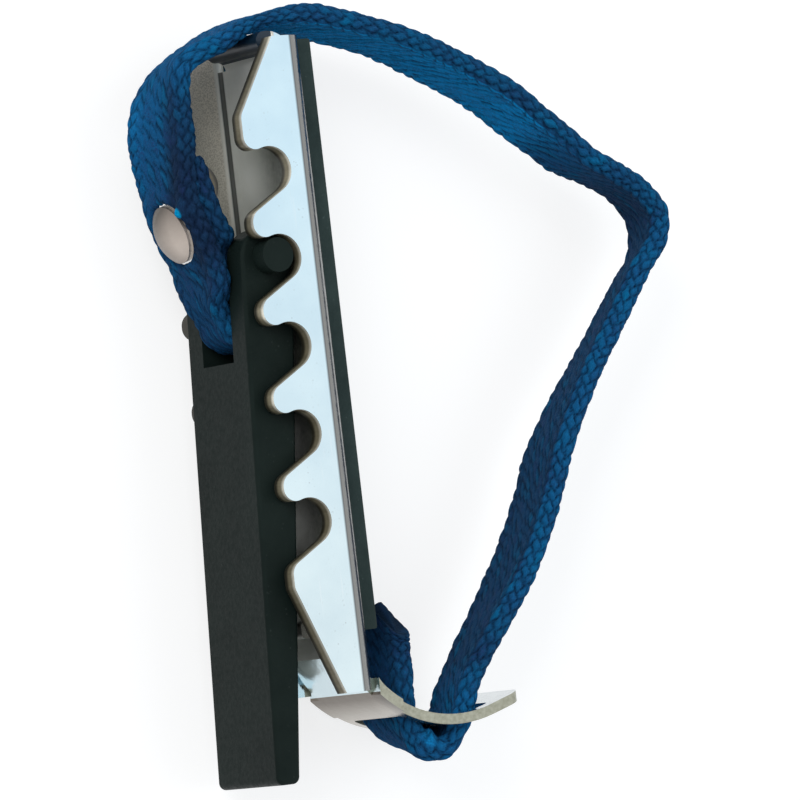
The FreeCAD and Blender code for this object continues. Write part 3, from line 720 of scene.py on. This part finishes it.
# %% Widths and thicknesses along the strap
LEVER_PART = 40
BEFORE_CORNER = 60
LIP_AT_X = -4.2
LIP_FROM_Y = 26
lowest = int(np.argmin(np.where(along < LEVER_PART, course[:, 1], 99)))
index = np.arange(len(course))
on_riveted = index < lowest
start = np.where(on_riveted, 11.0, 5.6)
finish = np.where(on_riveted, 12.6, 8.6)
share = np.clip((course[:, 1] - start) / (finish - start), 0, 1)
share = np.where(along < LEVER_PART, share * share * (3 - 2 * share), 1.0)
half_width = FORK_HALF_WIDTH + share * (STRAP_HALF_WIDTH - FORK_HALF_WIDTH)
at_lip = np.exp(-(((course[:, 0] - LIP_AT_X) / 3.2) ** 2)) * (course[:, 1] > LIP_FROM_Y)
squeezed = 0.30 * at_lip
blunt_end = np.interp(along, [0, 0.5, 1.3], [0.45, 0.8, 1.0])
thin = np.where(on_riveted, blunt_end, 1.0) - squeezed
print("narrowest", round(2 * half_width.min(), 2), "mm in the lever's fork")

# %% Directions across and out of the strap
tangent = np.gradient(course[:, :2], axis=0)
tangent /= np.linalg.norm(tangent, axis=1)[:, None]
tangent = np.column_stack([tangent, np.zeros(len(course))])
normal = np.column_stack([-tangent[:, 1], tangent[:, 0], np.zeros(len(course))])
lean = course[:, 2:3]
skew = course[:, 3:4]
upright = np.sqrt((2 * STRAP_HALF_WIDTH) ** 2 - lean**2 - skew**2)
width_way = normal * lean + tangent * skew + np.array([0, 0, 1.0]) * upright
width_way /= np.linalg.norm(width_way, axis=1)[:, None]
face_way = normal - width_way * np.sum(normal * width_way, axis=1)[:, None]
face_way /= np.linalg.norm(face_way, axis=1)[:, None]
print("greatest lean", round(float(np.abs(lean).max()), 2), "mm")

# %% Points of the whole strap
TOP_RUN = (58, 102)
BAR_AT_X = 5.6
BAR_BELOW_Y = -33.5
FULLNESS = 1.15
height, luck = weave(along, around)
edge_share = tapered(np.abs(out_across), 0.0, 0.8)[None, :]
sink = (0.17 + 0.23 * edge_share) * (1 - height)
across_part = np.abs(flat_share * FLAT_HALF + out_across * EDGE_RADIUS)[None, :]
bead = tapered(across_part, 2.2, FLAT_HALF)
radius = FACE_HALF_THICKNESS + (EDGE_RADIUS - FACE_HALF_THICKNESS) * bead - sink
flat_half = (half_width - STRAP_HALF_THICKNESS)[:, None]
ripple = 0.18 * np.sin(2 * np.pi * along / 2.3 + 1.3 * np.sin(0.9 * along))
ripple = np.where((along > TOP_RUN[0]) & (along < TOP_RUN[1]), ripple, 0.0)[:, None]
across_place = flat_share * flat_half + out_across * (radius + ripple * (out_across < 0))
face_place = out_face * radius * thin[:, None]
under_bar = np.exp(-(((course[:, 0] - BAR_AT_X) / 1.4) ** 2)) * (course[:, 1] < BAR_BELOW_Y)
fullness = FULLNESS * under_bar[:, None] * tapered(across_place, 0.8, 3.6)
face_place -= fullness * tapered(-out_face, 0.0, 0.7)
points = (
    np.column_stack([course[:, :2], np.zeros(len(course))])[:, None, :]
    + width_way[:, None, :] * across_place[:, :, None]
    + face_way[:, None, :] * face_place[:, :, None]
)
edge_glow = edge_share * np.ones_like(height)
print(points.shape[0] * points.shape[1], "points on the strap")

# %% Swelling round the rivet, and the melted tag
SWELL_HEIGHT = 0.42
TAG_HEIGHT = 0.85
TAG_UP_STRAP = 1.95
TAG_TO_NEAR = 3.35
layer_way = np.array([-0.3036, 0.9528])
off_rivet = points[:, :, :2] - np.array(RIVET)
up_strap = off_rivet @ layer_way
outwards = off_rivet @ np.array([-layer_way[1], layer_way[0]])
to_near = points[:, :, 2]
from_rivet = np.hypot(up_strap, to_near)
on_outer = ((~on_riveted) & (along < BEFORE_CORNER))[:, None] & (outwards > 0)
swell = tapered(from_rivet, 2.75, 3.25) * tapered(-from_rivet, -5.2, -3.3)
swell *= 1 - 0.9 * tapered(to_near, 0.4, 2.4)
off_tag = ((up_strap - TAG_UP_STRAP) / 0.80) ** 2 + ((to_near - TAG_TO_NEAR) / 0.60) ** 2
tag = np.exp(-off_tag)
rise = np.where(on_outer, SWELL_HEIGHT * swell + TAG_HEIGHT * tag, 0.0)
points += face_way[:, None, :] * rise[:, :, None]
edge_glow = np.where(on_outer, np.maximum(edge_glow, 1.9 * tag), edge_glow)
height = np.where(on_outer, np.maximum(height, tag), height)
print("swelling up to", round(float(rise.max()), 2), "mm")

# %% [markdown]
# The tail was cut on a slant and sealed with heat, so its last millimetres are drawn back, more on
# the near side. Then each point gets a tone of painted light and shade: painted light along the top
# run and on the loop's far side, painted shade where the strap turns the corner, in the tail and on
# the loop's near side, and painted light on the inner face under the tongue's bar, where shade
# falls.

# %% Slanted, sealed end of the tail
SEALED_LENGTH = 7.0
near_share = across_place / STRAP_HALF_WIDTH
short = 3.8 * np.clip(near_share - 0.1, 0, None) + 1.5 * np.clip(-near_share, 0, None)
late = np.clip(1 - (along[-1] - along) / SEALED_LENGTH, 0, 1)[:, None] ** 2
points[:, :, 1] -= short * late
print("strap spans z", round(points[:, :, 2].min(), 2), "to", round(points[:, :, 2].max(), 2))

# %% Painted light and shade along the strap
stretch_at = [0, 20, 36, 44, 52, 60, 85, 96, 104, 112, 154, 158, 164, 179]
stretch_tone = [0.1, 0.30, 0.45, 0.85, 0.90, 0.95, 0.85, 0.60, 0.20, 0.30, 0.28, 0.95, 0.70, 0.12]
painted_light_along = np.interp(along, stretch_at, stretch_tone)[:, None]
near_side = tapered(across_place, 0.6, 2.6)
far_side = tapered(-across_place, 0.0, 3.0)
on_loop = (tapered(along, 26, 34) * tapered(-along, -49, -44))[:, None]
on_run = (tapered(along, 98, 108) * tapered(-along, -156, -144))[:, None]
# Painted light on the loop's far side and painted shade on its near side.
tone = painted_light_along + on_loop * (0.30 * far_side - 0.62 * near_side)
on_top = (tapered(along, 52, 58) * tapered(-along, -98, -86))[:, None]
on_edge = near_side * (out_across[None, :] > 0.3)
inner_face = (out_face[None, :] < -0.3) * (1 - on_edge)
# Painted light on the near edge down the right run, painted shade on it along the top run, and
# painted light on the top run's inner face.
tone = tone + (0.45 * on_run - 0.40 * on_top) * on_edge + 1.1 * on_top * inner_face
# Painted light on the inner face under the tongue's bar, where shade falls.
tone = tone + 0.6 * under_bar[:, None] * (out_face[None, :] < -0.2)
tone = np.clip(tone, 0.0, 1.8)
print("tone", round(float(tone.min()), 2), "to", round(float(tone.max()), 2))


# %% One piece of the strap
def strap_piece(name, first, last):
    """Object made of the rings from first to last, closed at both ends."""
    count = last - first + 1
    mesh = bpy.data.meshes.new(name)
    ring = np.arange(RING)
    beside = (ring + 1) % RING
    rows = np.arange(count - 1)[:, None] * RING
    quads = np.stack([rows + ring, rows + beside, rows + RING + beside, rows + RING + ring], 2)
    ends = [list(range(RING - 1, -1, -1)), [(count - 1) * RING + k for k in range(RING)]]
    vertices = points[first : last + 1].reshape(-1, 3) * MM
    mesh.from_pydata(vertices.tolist(), [], quads.reshape(-1, 4).tolist() + ends)
    mesh.update()
    tint = mesh.color_attributes.new("weave", "FLOAT_COLOR", "POINT")
    values = np.stack([height, luck, edge_glow, tone], 2)[first : last + 1]
    tint.data.foreach_set("color", values.astype(np.float32).ravel())
    layer = mesh.uv_layers.new(name="along")
    girth_end = np.append(around, girth)
    at_ring = np.stack([ring, ring + 1, ring + 1, ring], 1)
    v = np.broadcast_to(girth_end[at_ring], (count - 1, RING, 4))
    far = along[first : last + 1]
    u = np.stack([far[:-1], far[:-1], far[1:], far[1:]], 1)[:, None, :]
    uv = np.stack([np.broadcast_to(u, v.shape), v], 3).reshape(-1, 2)
    uv = np.vstack([uv, np.zeros((2 * RING, 2))])
    layer.data.foreach_set("uv", uv.astype(np.float32).ravel())
    smooth = np.ones(len(mesh.polygons), dtype=bool)
    smooth[-2:] = False
    mesh.polygons.foreach_set("use_smooth", smooth)
    rim_keys = set()
    for polygon in list(mesh.polygons)[-2:]:
        rim_keys.update(polygon.edge_keys)
    for line in mesh.edges:
        if line.key in rim_keys:
            line.use_edge_sharp = True
    mesh.materials.append(webbing)
    piece = bpy.data.objects.new(name, mesh)
    bpy.context.scene.collection.objects.link(piece)
    print(name, count, "rings,", round(far[-1] - far[0], 1), "mm")
    return piece


# %% [markdown]
# The strap is cut in three. The loop at the lever moves with the lever, and the stretch over the
# lip and the rest, round the neck and in the tongue, stay with the bar. The cuts share their
# rings, so no seam shows while the capo is closed.

# %% Strap pieces ride with their bodies and stand for their CAD nodes
LOOP_ENDS_AT_Y = 19.26
LIP_ENDS_AT_X = 4.9
loop_end = int(np.argmax((index > lowest) & (course[:, 1] > LOOP_ENDS_AT_Y)))
lip_end = int(np.argmax((index > loop_end) & (course[:, 0] > LIP_ENDS_AT_X)))
loop_piece = strap_piece("webbing_lever_loop", 0, loop_end)
lip_piece = strap_piece("webbing_over_lip", loop_end, lip_end)
neck_piece = strap_piece("webbing_neck", lip_end, len(course) - 1)
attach(loop_piece, "strap_loop")
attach(lip_piece, "bar")
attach(neck_piece, "bar")
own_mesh(lip_piece)
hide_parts("strap_lever_loop")
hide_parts("strap_over_lip")
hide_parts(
    "strap_neck_upper", "strap_neck_lower", "strap_buckle_wrap", "strap_tail"
)

# %% [markdown]
# The studio has a pale floor, a plain white surround and two large soft lamps. The camera and the
# metal see floor and surround as white, through Light Path, while matt surfaces are lit by a
# plainer level, at which a colour renders about as it is written. The floor keeps part of its own
# shading, so the object's soft shadow stays on it. The lamps aren't mirrored, because their images
# would burn white patches into the plated face.


# %% What the camera and the metal see
def seen_directly(net):
    """1 for camera, glossy and transmission rays."""
    rays = net.add("ShaderNodeLightPath").outputs
    seen = net.math("MAXIMUM", rays["Is Camera Ray"], rays["Is Glossy Ray"])
    return net.math("MAXIMUM", seen, rays["Is Transmission Ray"])


# %% Floor
FLOOR_REACH = 1.5
FLOOR_GAP = 0.05
floor_material, net, shader = new_material("studio floor")
shader.inputs["Base Color"].default_value = (0.40, 0.40, 0.40, 1)
shader.inputs["Roughness"].default_value = 0.95
shader.inputs["Specular IOR Level"].default_value = 0.0
glow = net.add("ShaderNodeEmission")
net.put(glow.inputs["Strength"], net.math("MULTIPLY", seen_directly(net), 0.72))
both_shaders = net.add("ShaderNodeAddShader")
net.put(both_shaders.inputs[0], shader.outputs[0])
net.put(both_shaders.inputs[1], glow.outputs[0])
surface = floor_material.node_tree.nodes["Material Output"].inputs["Surface"]
net.put(surface, both_shaders.outputs[0])

ground = -(HALF_OUTSIDE + FLOOR_GAP) * MM
around_object = ((-1, -1), (1, -1), (1, 1), (-1, 1))
corners = [(x * FLOOR_REACH, y * FLOOR_REACH, ground) for x, y in around_object]
floor_mesh = bpy.data.meshes.new("floor")
floor_mesh.from_pydata(corners, [], [(0, 1, 2, 3)])
floor_mesh.materials.append(floor_material)
floor = bpy.data.objects.new("floor", floor_mesh)
bpy.context.scene.collection.objects.link(floor)
print("floor at", round(ground / MM, 2), "mm")

# %% Surround
world = bpy.data.worlds.new("studio")
bpy.context.scene.world = world
world.use_nodes = True
net = Net(world.node_tree)
backdrop = world.node_tree.nodes["Background"]
soft = net.mix(seen_directly(net), (0.50, 0.53, 0.56, 1), (1, 1, 1, 1))
net.put(backdrop.inputs["Color"], soft)
backdrop.inputs["Strength"].default_value = 1.0
print(world.name, "surround, white where it is seen directly")


# %% Lamps
def soft_light(name, place, target, size, power, colour):
    """Area lamp that lights the object but isn't mirrored in its metal."""
    data = bpy.data.lights.new(name, "AREA")
    data.shape = "RECTANGLE"
    data.size, data.size_y = size
    data.energy = power
    data.color = colour
    light = bpy.data.objects.new(name, data)
    light.location = place
    light.visible_glossy = False
    way = Vector(target) - Vector(place)
    light.rotation_euler = way.to_track_quat("-Z", "Y").to_euler()
    bpy.context.scene.collection.objects.link(light)
    print("lamp", name, power, "W")


soft_light("key", (-0.40, 0.30, 0.42), (0, 0, 0), (0.35, 0.35), 1.9, (1.0, 0.99, 0.97))
soft_light("fill", (0.45, 0.05, 0.65), (0.01, 0, 0), (0.7, 0.6), 1.5, (0.90, 0.96, 1.0))

# %% [markdown]
# The camera stands where the photograph was taken from, thirty degrees to the left of straight
# above, and far off with a long lens, because the photograph shows hardly any perspective.

# %% Camera at the photographed angle
TURN = math.radians(30.0)
DIP = math.radians(-1.9)
ROLL = math.radians(6.6)
DISTANCE = 700.0 * MM
target = Vector((8.67, -3.75, -0.99)) * MM
towards = Vector((-math.sin(TURN) * math.cos(DIP), math.sin(DIP), math.cos(TURN) * math.cos(DIP)))
level_up = (Vector((0, 1, 0)) - towards * towards.y).normalized()
level_right = level_up.cross(towards)
right = math.cos(ROLL) * level_right - math.sin(ROLL) * level_up
above_way = math.sin(ROLL) * level_right + math.cos(ROLL) * level_up
camera_data = bpy.data.cameras.new("camera")
camera_data.lens = 335.8
camera_data.sensor_width = 36.0
camera_data.clip_start = 0.01
camera_data.clip_end = 10.0
camera = bpy.data.objects.new("camera", camera_data)
turned = Matrix((right, above_way, towards)).transposed()
camera.matrix_world = Matrix.Translation(target + towards * DISTANCE) @ turned.to_4x4()
bpy.context.scene.collection.objects.link(camera)
bpy.context.scene.camera = camera
bpy.context.scene.view_settings.view_transform = "Standard"
print("camera", [round(v / MM) for v in camera.location], "mm")
